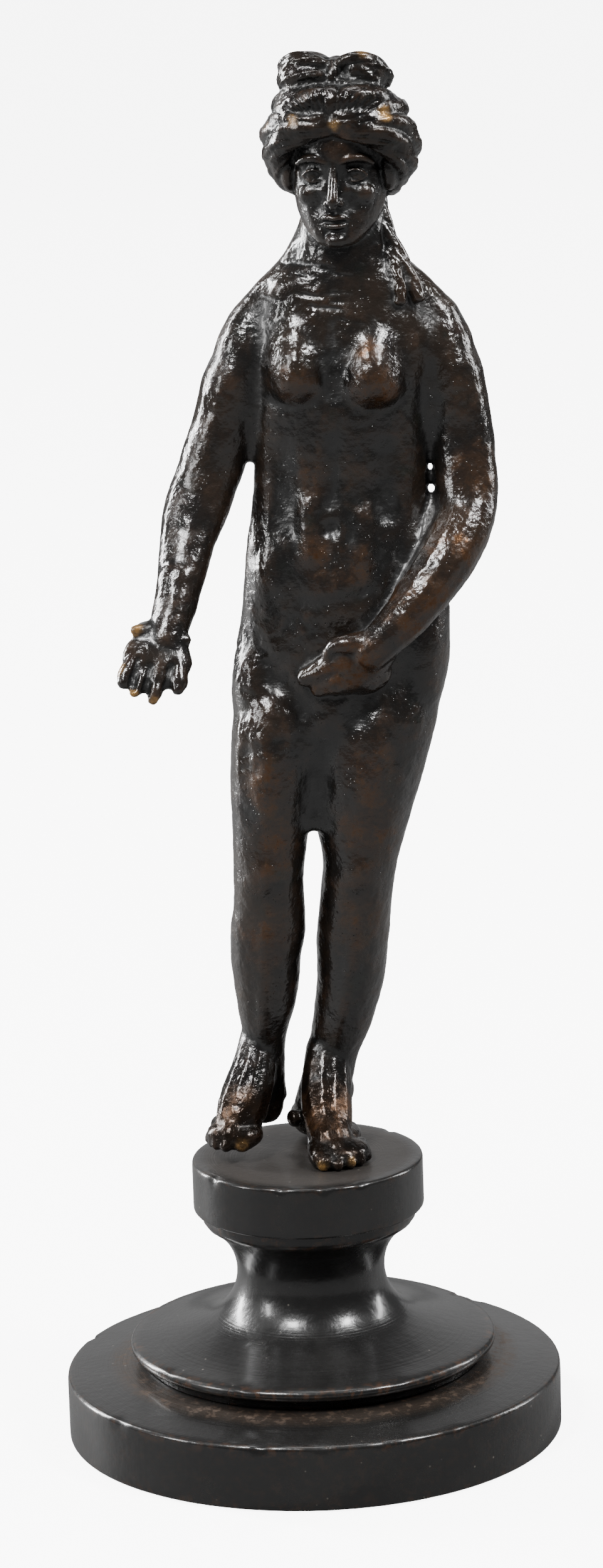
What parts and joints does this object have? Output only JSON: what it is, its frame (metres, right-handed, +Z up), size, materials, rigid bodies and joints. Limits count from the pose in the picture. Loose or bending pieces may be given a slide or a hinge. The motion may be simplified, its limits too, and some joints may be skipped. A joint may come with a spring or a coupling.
{
  "type": "statuette on turned socle",
  "caption": "Cast bronze standing female nude with dressed hair, one hand lowered and open, on a turned black wooden socle with waisted stem and round plinth.",
  "frame": {"origin": "centre of the face the object rests on, on the socle's turning axis", "axes": "+Z up the socle's turning axis, -Y the way the figure faces, +X towards the figure's left hand"},
  "size_m": [0.072, 0.072, 0.2002],
  "materials": {
    "patinated_bronze": "dark brown cast patina, rubbed warm on the high places",
    "ebonised_wood": "black stained and French polished, worn on the turned edges",
    "plated_steel": "dull zinc plate",
    "pin_brass": "drawn brass, unpolished",
    "green_baize": "pressed wool baize"
  },
  "bodies": {
    "root": {"bronze_figure": "patinated_bronze", "socle_top_disc": "ebonised_wood", "socle_stem": "ebonised_wood", "socle_plinth": "ebonised_wood", "threaded_rod": "plated_steel", "rod_nut": "plated_steel", "rod_washer": "plated_steel", "locating_pin": "pin_brass", "baize_pad": "green_baize"}
  },
  "joints": []
}
